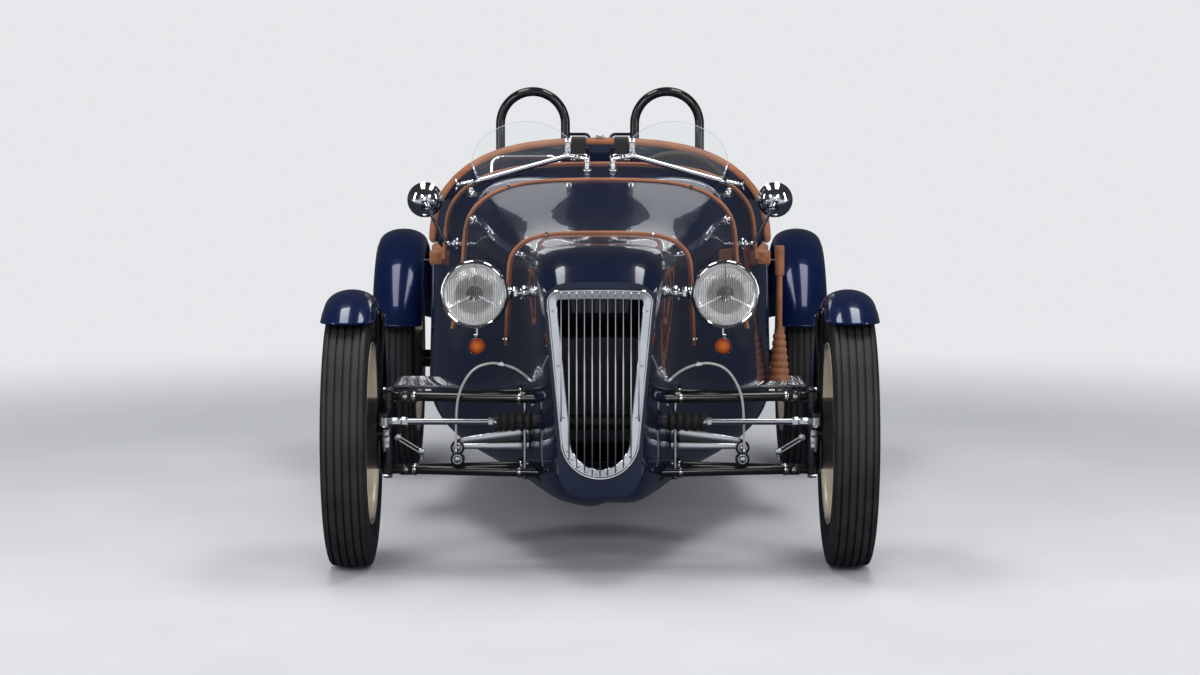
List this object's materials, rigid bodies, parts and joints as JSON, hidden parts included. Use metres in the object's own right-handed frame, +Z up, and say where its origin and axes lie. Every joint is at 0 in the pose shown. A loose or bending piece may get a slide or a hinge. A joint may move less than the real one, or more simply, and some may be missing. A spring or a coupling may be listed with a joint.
{
  "type": "open two-seat roadster",
  "caption": "Open two-seat roadster with a boat tail, wire wheels, cycle wings, an upright grille, small screens and steered front wheels.",
  "frame": {"origin": "on the ground under the middle of the overall box", "axes": "the car faces -Y, its left side is +X and +Z is up"},
  "size_m": [1.524, 3.23, 1.3145],
  "materials": {
    "body_paint": "gloss",
    "wing_paint": "metallic gloss",
    "frame_black": "satin",
    "block_grey": "cast",
    "chrome": "polished",
    "polished_alloy": "polished",
    "steel": "bright",
    "leather": "grained",
    "dash_panel": "varnished",
    "belt_web": "woven",
    "glass": "clear",
    "amber": "clear",
    "red_lens": "clear",
    "rubber": "matt",
    "hose": "matt",
    "steering_black": "smooth",
    "tyre": "matt",
    "wheel_cream": "gloss"
  },
  "bodies": {
    "chassis": {"frame_rails": "frame_black", "cross_members": "frame_black", "power_block": "block_grey", "body_tub": "body_paint", "nose_cowl": "body_paint", "grille": "chrome", "scuttle": "body_paint", "rear_body": "body_paint", "leather_beads": "leather", "cockpit_padding": "leather", "dashboard": "dash_panel", "seats": "leather", "seat_belts": "belt_web", "roll_hoops": "frame_black", "screen_frames": "chrome", "screen_glass": "glass", "mirrors": "chrome", "headlights": "chrome", "headlight_lenses": "glass", "indicators": "amber", "tail_lamps": "red_lens", "suspension_arms": "frame_black", "rockers": "polished_alloy", "steering_rack": "rubber", "brake_hoses": "hose", "rear_wings": "body_paint", "rear_axle": "frame_black", "step_plates": "polished_alloy", "handbrake_lever": "frame_black", "grab_bar": "chrome"},
    "bonnet": {"bonnet": "body_paint"},
    "upright_left": {"knuckle_left": "frame_black", "front_wing_left": "wing_paint"},
    "upright_right": {"knuckle_right": "frame_black", "front_wing_right": "wing_paint"},
    "rack": {"rack_bar": "steel"},
    "steering": {"steering_wheel": "steering_black"},
    "road_wheel_front_left": {"tyre_front_left": "tyre", "wheel_front_left": "wheel_cream"},
    "road_wheel_front_right": {"tyre_front_right": "tyre", "wheel_front_right": "wheel_cream"},
    "road_wheel_rear_left": {"tyre_rear_left": "tyre", "wheel_rear_left": "wheel_cream"},
    "road_wheel_rear_right": {"tyre_rear_right": "tyre", "wheel_rear_right": "wheel_cream"}
  },
  "joints": [
    {"name": "steer_left", "type": "hinge", "parent": "chassis", "child": "upright_left", "pos_m": [0.589, -1.245, 0.37], "axis": [0, 0, 1], "range_deg": [-28, 28]},
    {"name": "steer_right", "type": "hinge", "parent": "chassis", "child": "upright_right", "pos_m": [-0.589, -1.245, 0.37], "axis": [0, 0, 1], "range_deg": [-28, 28]},
    {"name": "rack_slide", "type": "slide", "parent": "chassis", "child": "rack", "axis": [1, 0, 0], "range_m": [-0.052, 0.052]},
    {"name": "steering_turn", "type": "hinge", "parent": "chassis", "child": "steering", "pos_m": [0.24, 0.045, 0.95], "axis": [0, 0.9272, 0.3746], "range_deg": [-336, 336]},
    {"name": "bonnet_lift", "type": "slide", "parent": "chassis", "child": "bonnet", "axis": [0, 0, 1], "range_m": [0, 0.45]},
    {"name": "spin_front_left", "type": "hinge", "parent": "upright_left", "child": "road_wheel_front_left", "pos_m": [0.6875, -1.245, 0.37], "axis": [1, 0, 0], "continuous": true},
    {"name": "spin_front_right", "type": "hinge", "parent": "upright_right", "child": "road_wheel_front_right", "pos_m": [-0.6875, -1.245, 0.37], "axis": [1, 0, 0], "continuous": true},
    {"name": "spin_rear_left", "type": "hinge", "parent": "chassis", "child": "road_wheel_rear_left", "pos_m": [0.6875, 0.955, 0.37], "axis": [1, 0, 0], "continuous": true},
    {"name": "spin_rear_right", "type": "hinge", "parent": "chassis", "child": "road_wheel_rear_right", "pos_m": [-0.6875, 0.955, 0.37], "axis": [1, 0, 0], "continuous": true}
  ],
  "couplings": [
    {"joint": "steer_right", "follows": "steer_left", "ratio": 1},
    {"joint": "rack_slide", "follows": "steer_left", "m_per_rad": 0.1057},
    {"joint": "steering_turn", "follows": "steer_left", "ratio": 12}
  ]
}
